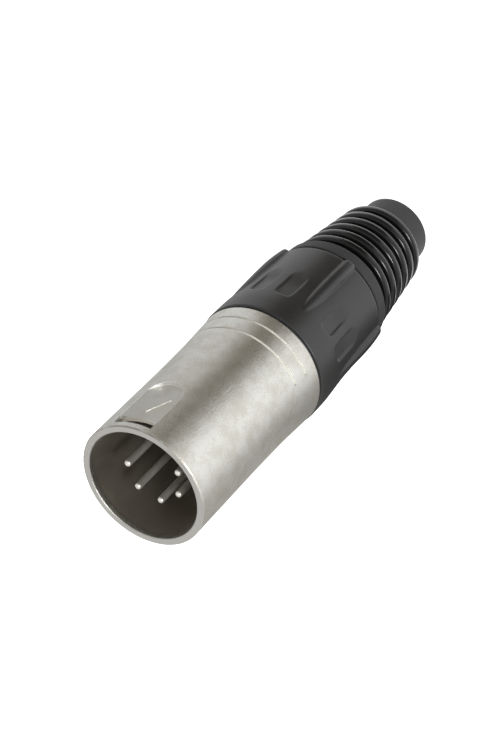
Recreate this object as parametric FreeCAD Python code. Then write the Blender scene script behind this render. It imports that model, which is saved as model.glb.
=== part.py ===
import FreeCAD, Part
import math
import os
from FreeCAD import Vector

# A five-contact male audio cable plug, standing on the end of its boot with its mouth up.
# Sizes are in millimetres. Heights are measured up from the boot's end face, on the plug's axis.
# Angles are in degrees about the axis, seen from above the mouth. The latch faces -Y.

# Shell
SHELL_LENGTH = 30.1
SHELL_R = 9.5
SHELL_WALL = 1.06
FLARE_LENGTH = 14.1
FLARE = 0.47
MOUTH_DEPTH = 16.0
RIM_BEVEL = 0.18
BORE_BEVEL = 0.12
LIP_LENGTH = 1.2
LIP_HEIGHT = 0.84
REAR_BORE_STEP = 0.11
KEY_ANGLE = 90.0
KEY_WIDTH = 1.6
KEY_HEIGHT = 0.65
KEY_OVERRUN = 0.15

# Latch recess in the shell
LATCH_ANGLE = -90.0
LATCH_WIDTH = 6.0
LATCH_DEPTH = 0.5
LATCH_LENGTH = 10.1
LATCH_BRIDGE = 1.0
LATCH_SLOT = 1.8
ARROW_SETBACK = 3.25
ARROW_LENGTH = 3.4
ARROW_WIDTH = 4.2
ARROW_HEIGHT = 0.2

# Pair of fine lines round the shell's rear end
LINE_SETBACKS = (2.35, 5.1)
LINE_WIDTH = 0.4
LINE_DEPTH = 0.2
LINE_SPAN = 158.0

# Contacts
PIN_COUNT = 5
PIN_STEP_ANGLE = 52.0
PIN_R = 0.5
PIN_RECESS = 2.65
PIN_TIP_R = 0.22
PIN_TIP_LENGTH = 0.45
SHANK_RECESS = 0.1
CUP_R = 1.0
CUP_LENGTH = 5.0
CUP_BORE_R = 0.7
CUP_BORE_DEPTH = 4.0
CUP_OPENING = 2.8
CUP_SHOULDER = 0.2

# Contact carrier
FLANGE_LENGTH = 2.8
HUB_LENGTH = 1.5
HUB_MARGIN = 0.4

# Ground spring
STRIP = 0.3
LEAF_WIDTH = 3.0
TAIL_WIDTH = 2.0
TAIL_GAP = 0.25
TAIL_SPACE = 1.1
TAIL_LENGTH = 4.7
BUMP_R = 0.7
LUG_HOLE_R = 0.5

# Cable clamp
COLLAR_LENGTH = 2.5
CLAMP_WALL = 0.7
CHAMBER_LENGTH = 7.2
FUNNEL_LENGTH = 3.2
TAPER_LENGTH = 7.4
TAPER_FALL = 1.5
FINGER_WALL = 1.3
FINGERS = 6
FINGER_SLOT = 1.1
FINGER_LENGTH = 10.0
TEETH = 3
TOOTH_PITCH = 1.8
TOOTH_SETBACK = 0.7
TOOTH_LENGTH = 0.7
TOOTH_HEIGHT = 0.35

# Back nut
NUT_LENGTH = 18.8
NUT_PROUD = 0.13
NUT_SWELL = 0.33
NUT_TAPER = 0.24
NUT_NOSE = 0.8
NUT_NOSE_BEVEL = 0.28
NUT_LAND = 2.2
NUT_SWELL_LENGTH = 5.0
THREAD_HEIGHT = 0.35
NECK_WALL = 0.65
NECK_STANDOFF = 0.8
SLEEVE_STANDOFF = 4.9
NUT_TURNED = 85.1
RIB_COUNT = 5
RIB_R = 1.2
RIB_PROUD = 0.28
RIB_CREST_HEIGHT = 5.5
RIB_RUN = 9.6
RIB_FRONT_DROP = 0.3
RIB_REAR_DROP = 0.63
RIB_OVERHANG = 0.15
SCOOP_WIDTH = 2.5
SCOOP_LENGTH = 6.4
SCOOP_SETBACK = 5.1
SCOOP_FLOOR = 0.17
SCOOP_ANGLE = 12.2

# Boot
BOOT_COLLAR_LENGTH = 2.4
BOOT_COLLAR_INSET = 0.13
COLLAR_GROOVE = 1.5
BOOT_RIBS = 6
BOOT_RIB_PITCH = 2.37
BOOT_RIB_WIDTH = 1.5
BOOT_RIB_INSET = 0.93
BOOT_RIB_TAPER = 1.22
BOOT_GROOVE_DEPTH = 0.85
END_RING_LENGTH = 5.2
END_RING_INSET = 1.63
END_BEVEL = 0.35
END_RING_WALL = 1.52
SLEEVE_COVER = 2.18
SLEEVE_LENGTH = 6.0
BEAD_SETBACK = 1.4
BEAD_WIDTH = 1.2
BEAD_HEIGHT = 0.35

# Clearances
SHELL_GAP = 0.1
COLLAR_GAP = 0.35
SEAT_CLEARANCE = 0.05
SLIDE_CLEARANCE = 0.1
CONE_CLEARANCE = 0.15
KEY_CLEARANCE = 0.15
PIN_CLEARANCE = 0.02

# Heights, from the boot's end face up to the mouth
RING_TOP = END_RING_LENGTH
COLLAR_REAR = RING_TOP + (BOOT_RIBS - 1) * BOOT_RIB_PITCH + BOOT_RIB_WIDTH + COLLAR_GROOVE
COLLAR_FRONT = COLLAR_REAR + BOOT_COLLAR_LENGTH
NUT_REAR = COLLAR_FRONT + COLLAR_GAP
NUT_FRONT = NUT_REAR + NUT_LENGTH
SHELL_REAR = NUT_FRONT + SHELL_GAP
MOUTH = SHELL_REAR + SHELL_LENGTH
INSERT_FACE = MOUTH - MOUTH_DEPTH
LIP_REAR = INSERT_FACE - LIP_LENGTH
FLANGE_REAR = LIP_REAR - FLANGE_LENGTH
HUB_REAR = FLANGE_REAR - HUB_LENGTH
CLAMP_FRONT = FLANGE_REAR - SEAT_CLEARANCE
CLAMP_COLLAR_REAR = CLAMP_FRONT - COLLAR_LENGTH
NECK_TIP = CLAMP_COLLAR_REAR - NECK_STANDOFF
SLEEVE_FRONT = COLLAR_FRONT + SLEEVE_LENGTH
CLAMP_TIP = SLEEVE_FRONT + SLEEVE_STANDOFF
TAPER_FRONT = CLAMP_TIP + TAPER_LENGTH
RIB_CREST = NUT_REAR + RIB_CREST_HEIGHT

# Radii that follow from the sizes above
MOUTH_BORE_R = SHELL_R - SHELL_WALL
SHELL_REAR_R = SHELL_R + FLARE
LIP_R = MOUTH_BORE_R - LIP_HEIGHT
REAR_BORE_R = MOUTH_BORE_R + REAR_BORE_STEP
NECK_R = REAR_BORE_R - SEAT_CLEARANCE - THREAD_HEIGHT
NECK_BORE_R = NECK_R - NECK_WALL
CLAMP_R = NECK_BORE_R - SLIDE_CLEARANCE
CLAMP_BORE_R = CLAMP_R - CLAMP_WALL
SHANK_R = CUP_R - CUP_SHOULDER
HUB_R = CLAMP_BORE_R - TAIL_SPACE
PIN_CIRCLE_R = HUB_R - HUB_MARGIN - CUP_R
TIP_R = CLAMP_R - TAPER_FALL
GRIP_R = TIP_R - FINGER_WALL
NUT_R = SHELL_REAR_R + NUT_PROUD
NUT_WAIST_R = NUT_R - NUT_SWELL
NUT_REAR_R = NUT_WAIST_R - NUT_TAPER
RIB_CREST_R = NUT_R + RIB_PROUD
CABLE_WAY_R = TIP_R + CONE_CLEARANCE
SLEEVE_R = NUT_REAR_R - SLEEVE_COVER - SEAT_CLEARANCE
BOOT_COLLAR_R = NUT_REAR_R - BOOT_COLLAR_INSET
BOOT_RIB_FRONT_R = BOOT_COLLAR_R - BOOT_RIB_INSET
BOOT_RIB_REAR_R = BOOT_RIB_FRONT_R - BOOT_RIB_TAPER
END_RING_R = BOOT_RIB_REAR_R - END_RING_INSET
CABLE_BORE_R = END_RING_R - END_RING_WALL

# A length past the surface, so that a cutter never ends on the face it opens
PAST = 2.0


def at(radius, height):
    """A point of an outline in the XZ half plane."""
    return Vector(radius, 0, height)


def outline(start, *steps):
    """A closed face from straight steps (a point) and arcs (a middle point and an end)."""
    edges = []
    here = start
    for step in steps + (start,):
        if isinstance(step, tuple):
            middle, there = step
            edges.append(Part.Arc(here, middle, there).toShape())
        else:
            there = step
            edges.append(Part.LineSegment(here, there).toShape())
        here = there
    return Part.Face(Part.Wire(edges))


def turned(start, *steps, sweep=360.0):
    """The solid that an outline makes round the axis."""
    return outline(start, *steps).revolve(Vector(), Vector(0, 0, 1), sweep)


def rod(radius, low, high):
    """A plain cylinder on the axis between two heights."""
    return Part.makeCylinder(radius, high - low, Vector(0, 0, low))


def block(width, near, far, low, high):
    """A box centred on the XZ plane, from near to far off the axis."""
    return Part.makeBox(far - near, width, high - low, Vector(near, -width / 2, low))


def set_at(shape, angle):
    """A copy of a shape turned about the axis from +X to angle."""
    return shape.rotated(Vector(), Vector(0, 0, 1), angle)


def spaced(shape, count, first):
    """Copies of a shape evenly spaced round the axis."""
    return [set_at(shape, first + 360.0 * index / count) for index in range(count)]


def pin_angles():
    """The contacts' angles: the middle one stands opposite the latch."""
    first = LATCH_ANGLE + 180.0 - PIN_STEP_ANGLE * (PIN_COUNT - 1) / 2
    return [first + PIN_STEP_ANGLE * index for index in range(PIN_COUNT)]


def latch_outline(height_off_axis):
    """The recess seen square on: straight sides and a round rear end."""
    half = LATCH_WIDTH / 2
    front = MOUTH - LATCH_BRIDGE
    round_centre = front - LATCH_LENGTH + half

    def spot(across, height):
        return Vector(height_off_axis, across, height)

    sides = [
        Part.LineSegment(spot(-half, round_centre), spot(-half, front)),
        Part.LineSegment(spot(-half, front), spot(half, front)),
        Part.LineSegment(spot(half, front), spot(half, round_centre)),
        Part.Arc(
            spot(half, round_centre),
            spot(0, round_centre - half),
            spot(-half, round_centre),
        ),
    ]
    return Part.Face(Part.Wire([side.toShape() for side in sides]))


def latch_recess():
    """A flat floor sunk in the wall, with a slot through it behind the rim."""
    floor = SHELL_R - LATCH_DEPTH
    recess = latch_outline(floor).extrude(Vector(LATCH_DEPTH + PAST, 0, 0))
    front = MOUTH - LATCH_BRIDGE
    slot = block(LATCH_WIDTH, LIP_R, SHELL_R + PAST, front - LATCH_SLOT, front)
    return recess.fuse(slot)


def latch_arrow():
    """The raised arrowhead on the recess floor, which points at the mouth."""
    floor = SHELL_R - LATCH_DEPTH
    root = floor - ARROW_HEIGHT
    tip = MOUTH - LATCH_BRIDGE - ARROW_SETBACK
    half = ARROW_WIDTH / 2
    corners = [
        Vector(root, 0, tip),
        Vector(root, half, tip - ARROW_LENGTH),
        Vector(root, -half, tip - ARROW_LENGTH),
    ]
    face = Part.Face(Part.makePolygon(corners + corners[:1]))
    return face.extrude(Vector(2 * ARROW_HEIGHT, 0, 0))


def flare_r(height):
    """The shell's outside radius at a height above its rear end: it swells as a parabola."""
    return SHELL_R + FLARE * (1 - height / FLARE_LENGTH) ** 2


def shell_line(setback):
    """One fine line cut part of the way round the shell's rear end."""
    low = SHELL_REAR + setback - LINE_WIDTH / 2
    high = low + LINE_WIDTH
    floor = flare_r(setback) - LINE_DEPTH
    ring = turned(
        at(floor, low),
        at(floor + PAST, low),
        at(floor + PAST, high),
        at(floor, high),
        sweep=LINE_SPAN,
    )
    return set_at(ring, LATCH_ANGLE - LINE_SPAN / 2)


def shell():
    """The die-cast shell: a mouth, a lip that stops the carrier, and a rear bore."""
    body = turned(
        at(MOUTH_BORE_R + BORE_BEVEL, MOUTH),
        at(SHELL_R - RIM_BEVEL, MOUTH),
        at(SHELL_R, MOUTH - RIM_BEVEL),
        at(flare_r(FLARE_LENGTH), SHELL_REAR + FLARE_LENGTH),
        at(flare_r(FLARE_LENGTH / 2), SHELL_REAR + FLARE_LENGTH / 2),
        at(flare_r(0), SHELL_REAR),
        at(REAR_BORE_R, SHELL_REAR),
        at(REAR_BORE_R, LIP_REAR),
        at(LIP_R, LIP_REAR),
        at(LIP_R, INSERT_FACE),
        at(MOUTH_BORE_R, INSERT_FACE),
        at(MOUTH_BORE_R, MOUTH - BORE_BEVEL),
    )
    body = body.cut(set_at(latch_recess(), LATCH_ANGLE))
    body = body.fuse(set_at(latch_arrow(), LATCH_ANGLE))
    for setback in LINE_SETBACKS:
        body = body.cut(shell_line(setback))
    key_r = REAR_BORE_R - KEY_HEIGHT
    key_rear = CLAMP_COLLAR_REAR - KEY_OVERRUN
    key = block(KEY_WIDTH, key_r, REAR_BORE_R + SHELL_WALL / 2, key_rear, LIP_REAR)
    return body.fuse(set_at(key, KEY_ANGLE)).removeSplitter()


def keyway(high, low):
    """The slot that lets a round piece slide over the shell's key."""
    near = REAR_BORE_R - KEY_HEIGHT - KEY_CLEARANCE
    slot = block(KEY_WIDTH + 2 * KEY_CLEARANCE, near, REAR_BORE_R + PAST, low - PAST, high + PAST)
    return set_at(slot, KEY_ANGLE)


def insert():
    """The moulded contact carrier: a nose in the lip, a flange behind it and a hub."""
    nose_r = LIP_R - SEAT_CLEARANCE
    flange_r = REAR_BORE_R - SEAT_CLEARANCE
    body = turned(
        at(0, INSERT_FACE),
        at(nose_r, INSERT_FACE),
        at(nose_r, LIP_REAR),
        at(flange_r, LIP_REAR),
        at(flange_r, FLANGE_REAR),
        at(HUB_R, FLANGE_REAR),
        at(HUB_R, HUB_REAR),
        at(0, HUB_REAR),
    )
    hole = rod(SHANK_R + PIN_CLEARANCE, HUB_REAR - PAST, INSERT_FACE + PAST)
    for angle in pin_angles():
        body = body.cut(set_at(hole.translated(Vector(PIN_CIRCLE_R, 0, 0)), angle))
    body = body.cut(keyway(LIP_REAR - PAST, FLANGE_REAR))
    return body.cut(set_at(ground_pocket(), LATCH_ANGLE))


def leaf_face():
    """How far off the axis the ground spring's flat leaf stands inside the round bore."""
    return math.sqrt((REAR_BORE_R - SEAT_CLEARANCE) ** 2 - (LEAF_WIDTH / 2) ** 2)


def ground_pocket():
    """The pocket that the ground spring lies in, over the flange's edge and rear face."""
    width = LEAF_WIDTH + 2 * SEAT_CLEARANCE
    inner = leaf_face() - STRIP - SEAT_CLEARANCE
    edge = block(width, inner, REAR_BORE_R + PAST, FLANGE_REAR - PAST, LIP_REAR + SEAT_CLEARANCE)
    web = block(width, HUB_R, REAR_BORE_R, FLANGE_REAR - PAST, FLANGE_REAR + STRIP)
    return edge.fuse(web)


def ground_contact():
    """The stamped strip that grounds the shell: a leaf, a web and a solder tail."""
    outer = leaf_face()
    tail_near = HUB_R + TAIL_GAP
    web_top = FLANGE_REAR + STRIP
    leaf = block(LEAF_WIDTH, outer - STRIP, outer, FLANGE_REAR, LIP_REAR - SEAT_CLEARANCE)
    web = block(LEAF_WIDTH, tail_near, outer, FLANGE_REAR, web_top)
    tail = block(TAIL_WIDTH, tail_near, tail_near + STRIP, FLANGE_REAR - TAIL_LENGTH, web_top)
    hole = Part.makeCylinder(
        LUG_HOLE_R,
        STRIP + 2 * PAST,
        Vector(tail_near - PAST, 0, FLANGE_REAR - TAIL_LENGTH + TAIL_WIDTH / 2),
        Vector(1, 0, 0),
    )
    reach = REAR_BORE_R - PIN_CLEARANCE
    bump = Part.makeSphere(BUMP_R, Vector(reach - BUMP_R, 0, (FLANGE_REAR + LIP_REAR) / 2))
    bump = bump.common(block(LEAF_WIDTH, outer - STRIP / 2, reach + PAST, FLANGE_REAR, LIP_REAR))
    strip = leaf.fuse([web, tail, bump]).cut(hole).removeSplitter()
    return set_at(strip, LATCH_ANGLE)


def pin(angle):
    """One turned contact: a tapered tip, a shank in the carrier and a cup for the wire."""
    tip = MOUTH - PIN_RECESS
    shoulder = INSERT_FACE - SHANK_RECESS
    cup_end = HUB_REAR - CUP_LENGTH
    body = turned(
        at(0, tip),
        at(PIN_TIP_R, tip),
        at(PIN_R, tip - PIN_TIP_LENGTH),
        at(PIN_R, shoulder),
        at(SHANK_R, shoulder),
        at(SHANK_R, HUB_REAR),
        at(CUP_R, HUB_REAR),
        at(CUP_R, cup_end),
        at(CUP_BORE_R, cup_end),
        at(CUP_BORE_R, cup_end + CUP_BORE_DEPTH),
        at(0, cup_end + CUP_BORE_DEPTH),
    )
    opening = block(2 * CUP_R + PAST, 0, CUP_R + PAST, cup_end - PAST, cup_end + CUP_OPENING)
    body = body.cut(opening)
    return set_at(body.translated(Vector(PIN_CIRCLE_R, 0, 0)), angle)


def clamp_outer():
    """The clamp's outside: a guide collar, a sleeve and a taper that the nut squeezes."""
    collar_r = REAR_BORE_R - SLIDE_CLEARANCE
    return turned(
        at(0, CLAMP_FRONT),
        at(collar_r, CLAMP_FRONT),
        at(collar_r, CLAMP_COLLAR_REAR),
        at(CLAMP_R, CLAMP_COLLAR_REAR),
        at(CLAMP_R, TAPER_FRONT),
        at(TIP_R, CLAMP_TIP),
        at(0, CLAMP_TIP),
    )


def clamp_bore():
    """The way for the wires: a chamber, a funnel and a toothed grip."""
    chamber_rear = CLAMP_FRONT - CHAMBER_LENGTH
    way = turned(
        at(0, CLAMP_FRONT + PAST),
        at(CLAMP_BORE_R, CLAMP_FRONT + PAST),
        at(CLAMP_BORE_R, chamber_rear),
        at(GRIP_R, chamber_rear - FUNNEL_LENGTH),
        at(GRIP_R, CLAMP_TIP - PAST),
        at(0, CLAMP_TIP - PAST),
    )
    for index in range(TEETH):
        catch = CLAMP_TIP + TOOTH_SETBACK + TOOTH_LENGTH + TOOTH_PITCH * index
        tooth = turned(
            at(GRIP_R + PAST, catch),
            at(GRIP_R - TOOTH_HEIGHT, catch),
            at(GRIP_R, catch - TOOTH_LENGTH),
            at(GRIP_R + PAST, catch - TOOTH_LENGTH),
        )
        way = way.cut(tooth)
    return way


def chuck():
    """The cable clamp: keyed in the shell, with fingers inside the back nut's cone."""
    body = clamp_outer().cut(clamp_bore())
    slot = block(FINGER_SLOT, 0, CLAMP_R + PAST, CLAMP_TIP - PAST, CLAMP_TIP + FINGER_LENGTH)
    for cutter in spaced(slot, FINGERS, KEY_ANGLE):
        body = body.cut(cutter)
    return body.cut(keyway(CLAMP_FRONT, CLAMP_COLLAR_REAR + PAST))


def nut_body():
    """The back nut's turned form: a bevelled nose, a swell and a barrel that tapers."""
    land = NUT_FRONT - NUT_NOSE - NUT_LAND
    return turned(
        at(0, NUT_FRONT),
        at(NUT_R - NUT_NOSE_BEVEL, NUT_FRONT),
        at(NUT_R, NUT_FRONT - NUT_NOSE),
        at(NUT_R, land),
        at(NUT_WAIST_R, land - NUT_SWELL_LENGTH),
        at(NUT_REAR_R, NUT_REAR),
        at(0, NUT_REAR),
    )


def grip_rib():
    """One long round rib: two straight runs that meet at its crest, and a round front end."""
    centre = RIB_CREST_R - RIB_R
    crest = at(centre, RIB_CREST)
    front = at(centre - RIB_FRONT_DROP, RIB_CREST + RIB_RUN)
    rear = at(centre - RIB_REAR_DROP, NUT_REAR - RIB_OVERHANG - RIB_R)
    runs = [
        Part.makeCylinder(RIB_R, (end - crest).Length, crest, end - crest)
        for end in (front, rear)
    ]
    rounds = [Part.makeSphere(RIB_R, spot) for spot in (crest, front)]
    return runs[0].fuse(runs[1:] + rounds)


def finger_scoop():
    """One shallow flat-bottomed grip recess that fades out towards the rear."""
    high = NUT_FRONT - SCOOP_SETBACK
    low = high - SCOOP_LENGTH
    half = SCOOP_WIDTH / 2
    floor = NUT_REAR_R + SCOOP_FLOOR
    cutter = block(SCOOP_WIDTH, floor, NUT_R + PAST, low, high - half)
    end = Part.makeCylinder(half, NUT_R + PAST - floor, at(floor, high - half), Vector(1, 0, 0))
    return cutter.fuse(end)


def nut_bore():
    """The nut's inside: a way for the clamp, a cone that squeezes it and the boot's seat."""
    seat_front = SLEEVE_FRONT + SEAT_CLEARANCE
    seat_r = SLEEVE_R + SEAT_CLEARANCE
    way = turned(
        at(0, NECK_TIP + PAST),
        at(NECK_BORE_R, NECK_TIP + PAST),
        at(NECK_BORE_R, TAPER_FRONT),
        at(CABLE_WAY_R, CLAMP_TIP),
        at(CABLE_WAY_R, seat_front),
        at(seat_r, seat_front),
        at(seat_r, NUT_REAR - PAST),
        at(0, NUT_REAR - PAST),
    )
    return way.fuse(snap_bead(SEAT_CLEARANCE))


def snap_bead(grown):
    """The barbed ring that snaps the boot into the nut; grown makes its groove."""
    high = SLEEVE_FRONT - BEAD_SETBACK + grown
    low = high - BEAD_WIDTH - 2 * grown
    return turned(
        at(CABLE_WAY_R, low),
        at(SLEEVE_R + BEAD_HEIGHT + grown, low),
        at(SLEEVE_R + grown, high),
        at(CABLE_WAY_R, high),
    )


def back_nut():
    """The back nut: a neck that screws into the shell, grip ribs and finger scoops."""
    body = nut_body()
    body = body.fuse(spaced(grip_rib(), RIB_COUNT, NUT_TURNED))
    body = body.common(rod(RIB_CREST_R + PAST, NUT_REAR - RIB_OVERHANG, NUT_FRONT))
    half_panel = 180.0 / RIB_COUNT
    for side in (-1, 1):
        first = NUT_TURNED + half_panel + side * SCOOP_ANGLE
        body = body.cut(spaced(finger_scoop(), RIB_COUNT, first))
    neck = turned(
        at(0, NUT_FRONT - NUT_NOSE),
        at(NECK_R, NUT_FRONT - NUT_NOSE),
        at(NECK_R, NECK_TIP),
        at(0, NECK_TIP),
    )
    return body.fuse(neck).cut(nut_bore()).removeSplitter()


def boot_rib(index):
    """The outline of one bend rib, counted up from the end ring, and of the groove after it."""
    crest = BOOT_RIB_REAR_R + BOOT_RIB_TAPER * index / (BOOT_RIBS - 1)
    floor = crest - BOOT_GROOVE_DEPTH
    low = RING_TOP + index * BOOT_RIB_PITCH
    high = low + BOOT_RIB_WIDTH
    groove_end = COLLAR_REAR if index == BOOT_RIBS - 1 else low + BOOT_RIB_PITCH
    return [at(crest, low), at(crest, high), at(floor, high), at(floor, groove_end)]


def boot():
    """The moulded boot: a snap-in sleeve, a collar, bend ribs and a plain end ring."""
    steps = [
        at(END_RING_R - END_BEVEL, 0),
        at(END_RING_R, END_BEVEL),
        at(END_RING_R, RING_TOP),
    ]
    for index in range(BOOT_RIBS):
        steps += boot_rib(index)
    steps += [
        at(BOOT_COLLAR_R, COLLAR_REAR),
        at(BOOT_COLLAR_R, COLLAR_FRONT),
        at(SLEEVE_R, COLLAR_FRONT),
        at(SLEEVE_R, SLEEVE_FRONT),
        at(CABLE_BORE_R, SLEEVE_FRONT),
    ]
    body = turned(at(CABLE_BORE_R, 0), *steps)
    bead = snap_bead(0.0).cut(rod(SLEEVE_R - BEAD_HEIGHT, 0, MOUTH))
    return body.fuse(bead).removeSplitter()


def save(name, shape):
    """Writes one solid, and says how big it is."""
    solids = shape.Solids
    if len(solids) != 1 or not shape.isValid():
        print("check", name, len(solids), "solids, valid:", shape.isValid())
    solids[0].exportStep(os.path.join("parts", name + ".step"))
    print(name, round(shape.Volume, 1), "mm3")


os.makedirs("parts", exist_ok=True)
save("shell", shell())
save("insert", insert())
for number, angle in enumerate(pin_angles(), 1):
    save("pin_%d" % number, pin(angle))
save("ground_contact", ground_contact())
save("chuck", chuck())
save("back_nut", back_nut())
save("boot", boot())
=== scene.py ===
import math
import bmesh
import bpy
from mathutils import Matrix, Vector


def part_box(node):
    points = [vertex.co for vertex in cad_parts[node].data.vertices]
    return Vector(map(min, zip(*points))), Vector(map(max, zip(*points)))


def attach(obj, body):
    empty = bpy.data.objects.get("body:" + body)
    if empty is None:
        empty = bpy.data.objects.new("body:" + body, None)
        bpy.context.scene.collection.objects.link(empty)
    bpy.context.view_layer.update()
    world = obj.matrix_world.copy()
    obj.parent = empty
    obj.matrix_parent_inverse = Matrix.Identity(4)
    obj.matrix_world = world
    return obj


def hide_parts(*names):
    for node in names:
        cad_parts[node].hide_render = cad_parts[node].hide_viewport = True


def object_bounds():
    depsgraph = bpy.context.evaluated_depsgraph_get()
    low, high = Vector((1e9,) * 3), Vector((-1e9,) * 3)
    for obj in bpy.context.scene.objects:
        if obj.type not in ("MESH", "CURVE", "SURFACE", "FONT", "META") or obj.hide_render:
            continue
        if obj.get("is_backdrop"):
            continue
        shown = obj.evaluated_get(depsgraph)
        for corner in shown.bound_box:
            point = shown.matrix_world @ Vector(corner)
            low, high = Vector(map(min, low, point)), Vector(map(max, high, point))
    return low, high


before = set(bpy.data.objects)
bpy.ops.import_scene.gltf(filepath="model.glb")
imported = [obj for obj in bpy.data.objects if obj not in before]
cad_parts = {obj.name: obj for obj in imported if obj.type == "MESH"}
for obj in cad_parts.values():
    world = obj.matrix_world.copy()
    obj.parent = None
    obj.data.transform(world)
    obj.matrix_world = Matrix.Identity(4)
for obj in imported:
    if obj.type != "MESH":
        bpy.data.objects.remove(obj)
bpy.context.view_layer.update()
MM = 0.001


# Shell
# Zinc, die-cast with its latch recess, arrow and two fine lines, then plated with satin nickel.
# The mouth keeps the casting's rougher, darker skin, because little plate is thrown into it.

class Wire:
    """An output in a material's nodes. Arithmetic on it adds Math nodes."""

    def __init__(self, socket):
        self.socket = socket

    def node(self, kind, settings=None, inputs=None, output=0):
        """Adds a node to this one's material: its settings first, then its sockets."""
        made = self.socket.id_data.nodes.new(kind)
        for name, value in (settings or {}).items():
            setattr(made, name, value)
        plug(made, inputs or {})
        return Wire(made.outputs[output])

    def math(self, operation, *values):
        return self.node("ShaderNodeMath", {"operation": operation}, dict(enumerate(values)))

    def __add__(self, other):
        return self.math("ADD", self, other)

    __radd__ = __add__

    def __sub__(self, other):
        return self.math("SUBTRACT", self, other)

    def __rsub__(self, other):
        return self.math("SUBTRACT", other, self)

    def __mul__(self, other):
        return self.math("MULTIPLY", self, other)

    __rmul__ = __mul__

    def between(self, low, high):
        """0 at low and 1 at high, eased; low may be the larger."""
        return self.node(
            "ShaderNodeMapRange",
            {"interpolation_type": "SMOOTHSTEP"},
            {"Value": self, "From Min": low, "From Max": high},
        )

    def mixed(self, first, second):
        """The colour that runs from first to second as this value runs from 0 to 1."""
        mix = self.node("ShaderNodeMix", {"data_type": "RGBA"}, {"Factor": self})
        node = mix.socket.node
        for socket, colour in zip((node.inputs[6], node.inputs[7]), (first, second)):
            if isinstance(colour, Wire):
                self.socket.id_data.links.new(colour.socket, socket)
            else:
                socket.default_value = (*colour, 1.0)
        return Wire(node.outputs[2])

    def noise(self, size, detail=2.0, roughness=0.5):
        """Soft noise from 0 to 1 over these coordinates, with patches of a size."""
        return self.node(
            "ShaderNodeTexNoise",
            None,
            {"Vector": self, "Scale": 1.0 / size, "Detail": detail, "Roughness": roughness},
        )

    def bumps(self, depth, under=None):
        """The normal over this height, from 0 to 1, times a depth."""
        inputs = {"Height": self, "Distance": depth, "Strength": 1.0}
        if under is not None:
            inputs["Normal"] = under
        return self.node("ShaderNodeBump", None, inputs)


def plug(node, inputs):
    """Gives a node's sockets their values or links."""
    for name, value in inputs.items():
        if isinstance(value, Wire):
            node.id_data.links.new(value.socket, node.inputs[name])
        else:
            node.inputs[name].default_value = value


def new_finish(name):
    """A material, its surface node, and the object's own coordinates in metres."""
    material = bpy.data.materials.new(name)
    material.use_nodes = True
    tree = material.node_tree
    place = Wire(tree.nodes.new("ShaderNodeTexCoord").outputs["Object"])
    return material, tree.nodes["Principled BSDF"], place


def split(place):
    """X, Y and the height above the boot's end, all in millimetres."""
    parts = place.node("ShaderNodeSeparateXYZ", None, {"Vector": place}).socket.node.outputs
    return [Wire(parts[axis]) * (1 / MM) for axis in "XYZ"]


def distance(across, along):
    """How far apart two spots are, from the steps across and along between them."""
    squares = across * across + along * along
    return squares.math("SQRT", squares)


def dress(node, material):
    """Gives a part from model.glb its material."""
    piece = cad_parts[node]
    piece.data.materials.clear()
    piece.data.materials.append(material)


SHELL_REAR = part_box("shell")[0].z / MM
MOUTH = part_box("shell")[1].z / MM
BARREL_R = 9.5
WALL_MIDDLE_R = 8.95
BARE_DEPTHS = (0.5, 1.1)
LINES = ((2.35, 9.82), (5.1, 9.69))
LINE_HALF = 0.24
LINE_FADE = 0.05
LATCH_BRIDGE = 1.0
LATCH_LENGTH = 10.1
LATCH_HALF = 3.0
LATCH_SHADE = 3.0
EDGE_ROUNDING = 0.13
SAND_DEPTH = 0.065

satin_nickel, surface, place = new_finish("satin_nickel")
sideways, far, height = split(place)
radius = distance(sideways, far)
depth = MOUTH - height
inside = radius.between(WALL_MIDDLE_R + 0.15, WALL_MIDDLE_R - 0.15)
inside = inside * depth.between(*BARE_DEPTHS)

# Each fine line has its setback from the shell's rear, and the shell's radius there. The lines
# carry a painted highlight: their colour is lighter than the plate.
rise = height - SHELL_REAR
lines = 0
for setback, surface_r in LINES:
    low, high = setback - LINE_HALF, setback + LINE_HALF
    band = rise.between(low, low + LINE_FADE) * rise.between(high, high - LINE_FADE)
    lines = lines + band * radius.between(surface_r - 0.01, surface_r - 0.05)

# The latch recess ends in a half circle. One side of its edge carries a painted highlight, and its
# floor a painted shade.
past = depth - (LATCH_BRIDGE + LATCH_LENGTH - LATCH_HALF)
beyond = distance(sideways, past.math("MAXIMUM", past, 0.0)) - LATCH_HALF
latch_side = far.between(1.0 - BARREL_R, 0.7 - BARREL_R)
recess_edge_highlight = beyond.between(-0.16, -0.06) * beyond.between(0.10, 0.02)
recess_edge_highlight = recess_edge_highlight * depth.between(LATCH_BRIDGE - 0.05, LATCH_BRIDGE + 0.05) * latch_side
recess_edge_highlight = recess_edge_highlight * sideways.between(-2.0, 0.5)
recess_floor_shade = beyond.between(-0.02, -0.15) * latch_side
recess_floor_shade = recess_floor_shade * depth.between(LATCH_BRIDGE - 0.05, LATCH_SHADE)

# The rim's bevel is coloured darker, and its outer edge on the latch's side darker still, in
# patches.
rim = depth.between(0.22, 0.08)
rim_edge_darkening = depth.between(0.24, 0.10) * radius.between(BARREL_R - 0.20, BARREL_R - 0.14)
rim_edge_darkening = rim_edge_darkening * far.between(0.5, -5.0) * place.noise(1.2 * MM).between(0.30, 0.55)

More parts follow.
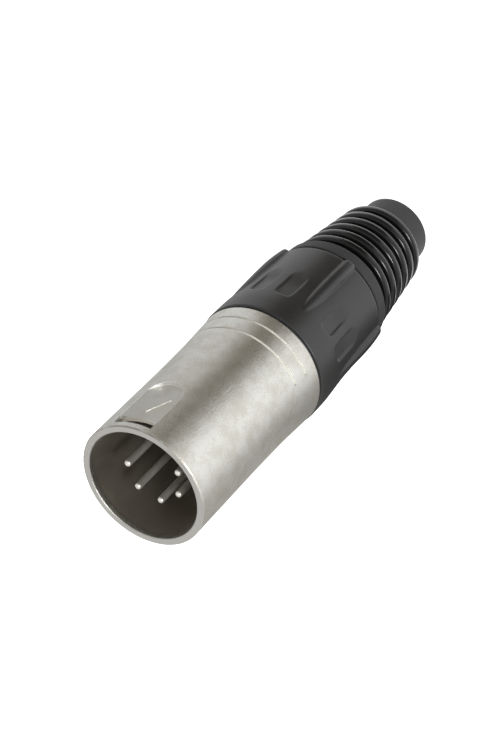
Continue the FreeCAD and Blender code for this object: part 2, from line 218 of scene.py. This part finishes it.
patches = place.noise(2.2 * MM, 4.0)
grain = place.noise(0.10 * MM, 2.0)
sand = place.noise(0.24 * MM, 3.0, 0.6)
tarnish = (0.55 * patches + 0.45 * sand).between(0.40, 0.61)
plate = tarnish.mixed((0.74, 0.74, 0.70), (0.63, 0.61, 0.55))
for cover, colour in (
    # painted highlight on the fine lines
    (lines, (0.86, 0.85, 0.80)),
    # painted highlight along one side of the latch recess's edge
    (recess_edge_highlight, (0.96, 0.95, 0.92)),
    # painted shade on the latch recess's floor
    (0.7 * recess_floor_shade, (0.50, 0.49, 0.45)),
    (rim, (0.48, 0.47, 0.435)),
    (rim_edge_darkening, (0.33, 0.30, 0.26)),
    (inside, (0.46, 0.43, 0.37)),
):
    plate = cover.mixed(plate, colour)
relief = (0.4 * grain + sand) * (1 - lines) * (1 - 0.7 * inside)
soft_edges = place.node("ShaderNodeBevel", {"samples": 6}, {"Radius": EDGE_ROUNDING * MM})
plug(surface, {
    "Metallic": 1.0,
    "Base Color": plate,
    "Roughness": 0.28 + 0.12 * patches + 0.12 * inside + 0.4 * lines,
    "Normal": relief.bumps(SAND_DEPTH * MM, soft_edges),
})
dress("shell", satin_nickel)


# Contact carrier
# One moulding of black glass-filled nylon. It drops into the shell from behind until its flange
# meets the shell's lip, and it holds the five contacts.

black_nylon, surface, place = new_finish("black_nylon")
pebble = place.noise(0.12 * MM)
plug(surface, {
    "Base Color": place.noise(1.5 * MM).mixed((0.012, 0.012, 0.012), (0.02, 0.019, 0.018)),
    "Roughness": 0.42 + 0.2 * pebble,
    "Normal": pebble.bumps(0.008 * MM),
})
dress("insert", black_nylon)


# Contacts
# Five brass pins, turned with a round tip and a solder cup, then silver plated. Each is pressed
# into the carrier from behind. The turning left faint rings on them.

def softened(corners, steps):
    """The points of a closed outline, from corners of radius, height and rounding in mm."""
    spots = [Vector((radius, height)) for radius, height, _ in corners]
    points = []
    for index, here in enumerate(spots):
        rounding = corners[index][2]
        if rounding == 0:
            points.append(here)
            continue
        before = spots[index - 1]
        after = spots[(index + 1) % len(spots)]
        start = here + (before - here).normalized() * rounding
        end = here + (after - here).normalized() * rounding
        for step in range(steps + 1):
            share = step / steps
            points.append(start.lerp(here, share).lerp(here.lerp(end, share), share))
    return points


def spun(name, outline, around, shaped=None):
    """A closed outline in mm, turned round the axis. Its points go where shaped puts them."""
    mesh = bpy.data.meshes.new(name)
    form = bmesh.new()
    rings = []
    for point in outline:
        ring = []
        for step in range(around):
            angle = math.tau * step / around
            radius, height = shaped(*point, angle) if shaped else point
            spot = Vector((radius * math.cos(angle), radius * math.sin(angle), height)) * MM
            ring.append(form.verts.new(spot))
        rings.append(ring)
    for one, other in zip(rings, rings[1:] + rings[:1]):
        for step in range(around):
            after = (step + 1) % around
            form.faces.new((one[step], one[after], other[after], other[step]))
    touching = 0.0001 * MM
    bmesh.ops.remove_doubles(form, verts=form.verts, dist=touching)
    bmesh.ops.dissolve_degenerate(form, edges=form.edges, dist=touching)
    bmesh.ops.recalc_face_normals(form, faces=form.faces)
    form.to_mesh(mesh)
    form.free()
    mesh.shade_smooth()
    piece = bpy.data.objects.new(name, mesh)
    bpy.context.scene.collection.objects.link(piece)
    return piece


def finished(piece, material):
    """Gives a new piece its material and even shading."""
    piece.data.materials.append(material)
    piece.modifiers.new("even_shading", "WEIGHTED_NORMAL").keep_sharp = True
    return piece


PINS = 5
PIN_R = 0.5
TIP_ROUNDING = 0.42
SHANK_R = 0.8
SHANK_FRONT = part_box("insert")[1].z / MM - 0.1
HUB_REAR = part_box("insert")[0].z / MM
CUP_R = 1.0
CUP_END = HUB_REAR - 5.0
CUP_BORE_R = 0.7
CUP_BORE_DEPTH = 4.0
PIN_EDGE = 0.08
TURNING = 0.05

silver_plate, surface, place = new_finish("silver_plate")
height = split(place)[2]
rings = height.node(
    "ShaderNodeTexNoise", {"noise_dimensions": "1D"}, {"W": height, "Scale": 1 / TURNING}
)
plug(surface, {
    "Metallic": 0.84,
    "Base Color": place.noise(1.0 * MM).mixed((0.83, 0.81, 0.76), (0.72, 0.69, 0.62)),
    "Roughness": 0.34 + 0.12 * rings,
    "Normal": rings.bumps(0.003 * MM),
})
for number in range(1, PINS + 1):
    node = "pin_%d" % number
    low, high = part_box(node)
    centre = (low + high) / 2
    tip = high.z / MM
    turned = spun("contact_%d" % number, softened([
        (0, tip, 0),
        (PIN_R, tip, TIP_ROUNDING),
        (PIN_R, SHANK_FRONT, 0),
        (SHANK_R, SHANK_FRONT, PIN_EDGE),
        (SHANK_R, HUB_REAR, 0),
        (CUP_R, HUB_REAR, PIN_EDGE),
        (CUP_R, CUP_END, PIN_EDGE),
        (CUP_BORE_R, CUP_END, PIN_EDGE),
        (CUP_BORE_R, CUP_END + CUP_BORE_DEPTH, 0),
        (0, CUP_END + CUP_BORE_DEPTH, 0),
    ], steps=6), around=36)
    turned.data.transform(Matrix.Translation((centre.x, centre.y, 0)))
    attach(finished(turned, silver_plate), "root")
    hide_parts(node)


# Ground spring
# A strip of tinned spring bronze, stamped and bent. It lies in the carrier's pocket, touches the
# shell's bore with its bump and has a tail to solder to.

spring_bronze, surface, place = new_finish("tinned_bronze")
rolled = place.noise(0.2 * MM, 3.0)
plug(surface, {
    "Metallic": 1.0,
    "Base Color": rolled.mixed((0.72, 0.66, 0.55), (0.62, 0.55, 0.42)),
    "Roughness": 0.25 + 0.15 * rolled,
    "Normal": rolled.bumps(0.004 * MM),
})
dress("ground_contact", spring_bronze)


# Cable clamp
# Natural acetal, moulded with six tapered fingers and keyed so that it can't turn in the shell.
# The back nut pushes it forwards and its cone closes the fingers on the cable.

acetal, surface, place = new_finish("natural_acetal")
cloud = place.noise(1.2 * MM)
plug(surface, {
    "Base Color": cloud.mixed((0.62, 0.61, 0.57), (0.68, 0.67, 0.64)),
    "Roughness": 0.35 + 0.15 * cloud,
    "Normal": place.noise(0.15 * MM).bumps(0.006 * MM),
})
dress("chuck", acetal)


# Back nut
# Black glass-filled nylon, moulded with five long grip ribs and two finger scoops in each panel
# between them. Its threaded neck screws into the shell.

NUT_FRONT = 41.6
NUT_REAR = 22.8
NUT_R = 10.1
NOSE_R = 9.5
SHOULDER = NUT_FRONT - 0.55
NOSE_REAR = SHOULDER + 0.15
REAR_BEVEL = 0.3
WAIST_R = 9.73
REAR_R = 9.38
SWELL_LOW = 31.4
SWELL_HIGH = 38.7
NECK_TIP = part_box("back_nut")[1].z / MM
NECK_R = 8.15
NECK_BORE_R = 7.5
THREAD_HEIGHT = 0.35
THREAD_PITCH = 1.5
THREAD_CREST = 0.075
THREAD_FOOT = 0.325
THREAD_LOW = 42.2
THREAD_FADE = 0.6
CLAMP_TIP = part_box("chuck")[0].z / MM
CONE_LENGTH = 7.4
CABLE_WAY_R = 6.05
SEAT_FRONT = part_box("boot")[1].z / MM + 0.05
SEAT_R = 7.35
SEAT_FLARE = 0.1
RIBS = 5
RIB_TURNED = 86.3
RIB_R = 1.2
RIB_CREST_R = 10.32
RIB_CREST = 27.9
RIB_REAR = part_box("back_nut")[0].z / MM
RIB_FRONT = 37.9
RIB_FRONT_DROP = 0.3
RIB_REAR_DROP = 0.42
RIB_CORNER = 0.2
RIB_CORNER_DROP = 0.08
RIB_SQUARENESS = 2.8
RIB_FOOT = 0.15
RIB_SKIRT = 1.5
SCOOP_TURNED = 12.2
SCOOP_HALF = 1.25
SCOOP_FRONT = 36.5
SCOOP_DEEPEST = 33.5
SCOOP_REAR = 29.3
SCOOP_DEPTH = 0.34
SCOOP_EDGE = 0.08
SCOOP_FRONT_EDGE = 0.35
SCOOP_SQUARENESS = 4
SLACK = 0.02


def eased(value, low, high):
    """0 at low and 1 at high, eased at both ends."""
    share = min(max((value - low) / (high - low), 0.0), 1.0)
    return share * share * (3 - 2 * share)


def barrel(height):
    """The nut's radius between its ribs."""
    taper = REAR_R + (WAIST_R - REAR_R) * (height - NUT_REAR) / (SWELL_LOW - NUT_REAR)
    return min(taper, WAIST_R) + (NUT_R - WAIST_R) * eased(height, SWELL_LOW, SWELL_HIGH)


def rib_crest(height):
    """The radius of a rib's crest, which falls away from its highest point."""
    if height > RIB_CREST:
        return RIB_CREST_R - RIB_FRONT_DROP * ((height - RIB_CREST) / (RIB_FRONT - RIB_CREST)) ** 2
    drop = RIB_REAR_DROP * ((RIB_CREST - height) / (RIB_CREST - RIB_REAR)) ** 2
    return RIB_CREST_R - drop - RIB_CORNER_DROP * eased(height, RIB_REAR + RIB_CORNER, RIB_REAR)


def thread(height, angle):
    """How far the thread stands out. Its crest and foot are half widths, in pitches."""
    off_crest = abs((height / THREAD_PITCH - angle / math.tau) % 1.0 - 0.5)
    ridge = min(max((THREAD_FOOT - off_crest) / (THREAD_FOOT - THREAD_CREST), 0.0), 1.0)
    run_out = eased(height, NECK_TIP, NECK_TIP - THREAD_FADE)
    return THREAD_HEIGHT * ridge * eased(height, THREAD_LOW, THREAD_LOW + THREAD_FADE) * run_out


def nut_skin(radius, height, angle):
    """Where a point of the turned form lies once it has ribs, scoops and a thread."""
    if height > NUT_FRONT and radius > NECK_R - SLACK:
        return radius + thread(height, angle), height
    if radius < barrel(height) - SLACK:
        return radius, height
    step = math.tau / RIBS
    first = math.radians(RIB_TURNED)
    off_rib = (angle - first + step / 2) % step - step / 2
    off_panel = (angle - first) % step - step / 2
    for side in (-1, 1):
        across = abs(radius * math.sin(off_panel + side * math.radians(SCOOP_TURNED)))
        ahead = max(height - (SCOOP_FRONT - SCOOP_HALF), 0.0)
        reach = (across ** SCOOP_SQUARENESS + ahead ** SCOOP_SQUARENESS) ** (1 / SCOOP_SQUARENESS)
        edge = SCOOP_EDGE + SCOOP_FRONT_EDGE * min(ahead / SCOOP_HALF, 1.0)
        inside = eased(reach, SCOOP_HALF + SCOOP_EDGE, SCOOP_HALF - edge)
        depth = SCOOP_DEPTH * eased(height, SCOOP_REAR, SCOOP_DEEPEST)
        flat_floor = depth - 0.5 * across * across / radius
        radius -= inside * max(flat_floor, 0.0)
    rise = rib_crest(height) - barrel(height)
    if rise > 0:
        half = math.sqrt(RIB_R ** 2 - (RIB_R - rise) ** 2)
        off_centre = abs(radius * math.sin(off_rib)) / half
        if off_centre < 1:
            lift = rise * (1 - off_centre ** RIB_SQUARENESS)
            radius = max(barrel(height) + lift, radius)
            overhang = eased(lift, 0.0, RIB_FOOT) * eased(height, NUT_REAR + RIB_SKIRT, NUT_REAR)
            height -= (NUT_REAR - RIB_REAR) * overhang
    return radius, height


def rows(radius_at, start, end, count):
    """Points of an outline between two heights, with the radius that a function gives."""
    heights = [start + (end - start) * step / count for step in range(count + 1)]
    return [Vector((radius_at(height), height)) for height in heights]


# The seat's rear edge folds back on itself: a flap 0.05 mm wide, hidden by the boot's collar.
nut_outline = (
    softened([(SEAT_R, NUT_REAR, SEAT_FLARE), (REAR_R, NUT_REAR, 0.0)], steps=4)[:-1]
    + [(REAR_R - REAR_BEVEL, NUT_REAR), (REAR_R - 0.08, NUT_REAR + 0.1)]
    + rows(barrel, NUT_REAR + REAR_BEVEL, SHOULDER, 100)
    + [(NUT_R - 0.05, SHOULDER + 0.1), (NUT_R - 0.16, NOSE_REAR)]
    + [(NOSE_R, NOSE_REAR), (NOSE_R, NUT_FRONT)]
    + rows(lambda height: NECK_R, NUT_FRONT + 0.02, NECK_TIP, 62)
    + [(NECK_BORE_R, NECK_TIP), (NECK_BORE_R, CLAMP_TIP + CONE_LENGTH)]
    + [(CABLE_WAY_R, CLAMP_TIP), (CABLE_WAY_R, SEAT_FRONT), (SEAT_R, SEAT_FRONT)]
)
nut = spun("nut_moulding", nut_outline, around=480, shaped=nut_skin)
nut_nylon, surface, place = new_finish("matte_nylon")
spark = place.noise(0.10 * MM, 2.0)
plug(surface, {
    "Base Color": place.noise(2.0 * MM).mixed((0.011, 0.011, 0.011), (0.017, 0.017, 0.017)),
    "Roughness": 0.36 + 0.12 * spark,
    "IOR": 1.6,
    "Normal": spark.bumps(0.010 * MM),
})
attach(finished(nut, nut_nylon), "nut")
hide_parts("back_nut")


# Boot
# One moulding of soft black rubber, snapped into the back nut's rear. Its six bend ribs come out
# of the mould glossy, and its collar and end ring are matte.

BOOT_RIBS = 6
BOOT_RIB_PITCH = 2.37
BOOT_RIB_WIDTH = 1.5
BOOT_RIB_SLANT = 0.1
BOOT_RIB_ROUNDING = 0.58
RING_TOP = 5.2
RING_R = 5.66
COLLAR_REAR = 20.05
COLLAR_FRONT = 22.35
COLLAR_R = 9.2
COLLAR_REAR_R = 9.02
CREST_FRONT_R = 8.51
CREST_REAR_R = 7.25
GROOVE = 0.95
CREASE = 0.12
CABLE_BORE_R = 4.1
SLEEVE_R = 7.3
SLEEVE_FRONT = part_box("boot")[1].z / MM
BOOT_EDGE = 0.3
BORE_EDGE = 0.25
SLEEVE_CREASE = 0.1

boot_corners = [
    (CABLE_BORE_R, 0, BORE_EDGE),
    (RING_R, 0, BOOT_EDGE),
    (RING_R, RING_TOP, CREASE),
]
for index in range(BOOT_RIBS):
    crest = CREST_REAR_R + (CREST_FRONT_R - CREST_REAR_R) * index / (BOOT_RIBS - 1)
    low = RING_TOP + BOOT_RIB_PITCH * index
    high = low + BOOT_RIB_WIDTH
    if index:
        boot_corners.append((crest - GROOVE, low, CREASE))
    boot_corners += [
        (crest, low + BOOT_RIB_SLANT, BOOT_RIB_ROUNDING),
        (crest, high - BOOT_RIB_SLANT, BOOT_RIB_ROUNDING),
        (crest - GROOVE, high, CREASE),
    ]
boot_corners += [
    (CREST_FRONT_R - GROOVE, COLLAR_REAR, CREASE),
    (COLLAR_REAR_R, COLLAR_REAR, BOOT_EDGE),
    (COLLAR_R, COLLAR_FRONT, BOOT_EDGE),
    (SLEEVE_R, COLLAR_FRONT, SLEEVE_CREASE),
    (SLEEVE_R, SLEEVE_FRONT, BOOT_EDGE),
    (CABLE_BORE_R, SLEEVE_FRONT, BOOT_EDGE),
]
boot = spun("boot_moulding", softened(boot_corners, steps=7), around=180)
boot_rubber, surface, place = new_finish("boot_rubber")
height = split(place)[2]
above_ring = height.between(RING_TOP - 0.1, RING_TOP + 0.1)
ribbed = above_ring * height.between(COLLAR_REAR - 0.05, COLLAR_REAR - 0.35)
skin = place.noise(0.12 * MM, 2.0)
plug(surface, {
    "Base Color": ribbed.mixed((0.036, 0.036, 0.037), (0.004, 0.004, 0.004)),
    "Roughness": 0.5 - 0.24 * ribbed + 0.12 * skin,
    "Specular IOR Level": 0.22,
    "Coat Weight": 0.4 * ribbed,
    "Coat Roughness": 0.16,
    "Normal": (skin * (1 - 0.8 * ribbed)).bumps(0.010 * MM),
})
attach(finished(boot, boot_rubber), "nut")
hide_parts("boot")


# Studio
# A white floor, just low enough for the unscrewed boot, and two soft lamps in a pale room. Pale
# and dark cards round the boot's end show only in reflections, and give the plate its bands.

FLOOR = -6.1
FLOOR_HALF = 1500.0
CARD_LEVEL = 0.3
CARD_STEPS = 24
CARD_NEAR = 16.0
CARD_MIDDLE = 53.0
CARD_FAR = 400.0
HEADING = math.radians(43.6)


def sheet(name, corners, faces):
    """A flat mesh for the studio, from corners in mm."""
    mesh = bpy.data.meshes.new(name)
    mesh.from_pydata([Vector(corner) * MM for corner in corners], [], faces)
    made = bpy.data.objects.new(name, mesh)
    bpy.context.scene.collection.objects.link(made)
    return made


floor_corners = [
    (x * FLOOR_HALF, y * FLOOR_HALF, FLOOR) for x, y in ((-1, -1), (1, -1), (1, 1), (-1, 1))
]
floor = sheet("floor", floor_corners, [(0, 1, 2, 3)])
white_floor, surface, place = new_finish("white_floor")
rays = place.node("ShaderNodeLightPath").socket.node.outputs
direct = Wire(rays["Is Camera Ray"]) + Wire(rays["Is Glossy Ray"])
direct = direct + Wire(rays["Is Transmission Ray"])
plug(surface, {
    "Base Color": place.noise(0.2).mixed((0.86, 0.86, 0.86), (0.88, 0.88, 0.88)),
    "Roughness": 0.9,
    "Specular IOR Level": 0.0,
    "Emission Color": direct.mixed((0.0, 0.0, 0.0), (1.0, 1.0, 1.0)),
    "Emission Strength": 0.7,
})
floor.data.materials.append(white_floor)
floor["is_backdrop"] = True

# Each card runs between two angles and two distances from the axis, and has a grey and a warmth.
for name, start, end, near, far, grey, warmth in (
    ("pale_card", -78.0, 60.0, CARD_MIDDLE, CARD_FAR, 0.58, 0.0),
    ("pale_card_near", -78.0, 60.0, CARD_NEAR, CARD_MIDDLE, 0.95, 0.0),
    ("shade_card", -92.0, -78.0, CARD_NEAR, CARD_FAR, 0.26, 0.3),
    ("dark_card", -134.0, -92.0, CARD_NEAR, CARD_FAR, 0.07, 0.6),
    ("white_card", -210.0, -134.0, CARD_NEAR, CARD_FAR, 0.88, 0.0),
    ("grey_card", 60.0, 150.0, CARD_MIDDLE, CARD_FAR, 0.38, 0.08),
    ("grey_card_near", 60.0, 150.0, CARD_NEAR, CARD_MIDDLE, 0.05, 0.0),
):
    corners = []
    for step in range(CARD_STEPS + 1):
        angle = math.radians(start + (end - start) * step / CARD_STEPS)
        for reach in (near, far):
            corners.append((reach * math.cos(angle), reach * math.sin(angle), CARD_LEVEL))
    faces = [(2 * step, 2 * step + 1, 2 * step + 3, 2 * step + 2) for step in range(CARD_STEPS)]
    made = sheet(name, corners, faces)
    material, surface, place = new_finish(name)
    tint = (grey, grey * (1 - 0.4 * warmth), grey * (1 - warmth))
    plug(surface, {
        "Base Color": place.noise(5 * MM).mixed(tint, [1.1 * part for part in tint]),
        "Roughness": 0.9,
        "Specular IOR Level": 0.0,
    })
    made.data.materials.append(material)
    made.visible_camera = False
    made.visible_diffuse = False
    made.visible_shadow = False
    made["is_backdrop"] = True

world = bpy.data.worlds.new("room")
bpy.context.scene.world = world
world.use_nodes = True
air = world.node_tree.nodes["Background"]
sky = Wire(world.node_tree.nodes.new("ShaderNodeTexCoord").outputs["Generated"])
onwards = (math.cos(HEADING), math.sin(HEADING), 0.3)
facing = sky.node(
    "ShaderNodeVectorMath", {"operation": "DOT_PRODUCT"}, {0: sky, 1: onwards}, "Value"
)
plug(air, {
    "Color": facing.between(-0.8, 0.8).mixed((0.42, 0.42, 0.42), (0.9, 0.9, 0.9)),
    "Strength": 1.0,
})

# Each lamp faces the plug's middle, from an azimuth, an elevation and a distance.
for name, azimuth, elevation, reach, size, power in (
    ("key", -171.0, 38.0, 600.0, 140.0, 2.2),
    ("top", 0.0, 88.0, 700.0, 120.0, 0.3),
):
    lamp = bpy.data.lights.new(name, "AREA")
    lamp.size = size * MM
    lamp.energy = power
    made = bpy.data.objects.new(name, lamp)
    bpy.context.scene.collection.objects.link(made)
    turn, lift = math.radians(azimuth), math.radians(elevation)
    level = math.cos(lift)
    away = Vector((math.cos(turn) * level, math.sin(turn) * level, math.sin(lift)))
    made.location = (Vector((0, 0, MOUTH / 2)) + away * reach) * MM
    made.rotation_mode = "QUATERNION"
    made.rotation_quaternion = away.to_track_quat("Z", "Y")

bpy.context.scene.view_settings.view_transform = "Standard"


# Camera
# The photograph looks down into the mouth from the latch's side, with the boot up and to the
# right. The lens is long, so the plug narrows little towards its boot.

camera = bpy.data.objects.new("camera", bpy.data.cameras.new("camera"))
bpy.context.scene.collection.objects.link(camera)
bpy.context.scene.camera = camera
camera.data.sensor_width = 36.0
camera.data.lens = 96.0
camera.data.clip_start = 0.01
pitch, roll = math.radians(-43.222), math.radians(-135.469)
camera.matrix_world = (
    Matrix.Translation(Vector((-149.0, -142.15, 237.28)) * MM)
    @ Matrix.Rotation(HEADING - math.pi / 2, 4, "Z")
    @ Matrix.Rotation(math.pi / 2 + pitch, 4, "X")
    @ Matrix.Rotation(roll, 4, "Z")
)

low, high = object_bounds()
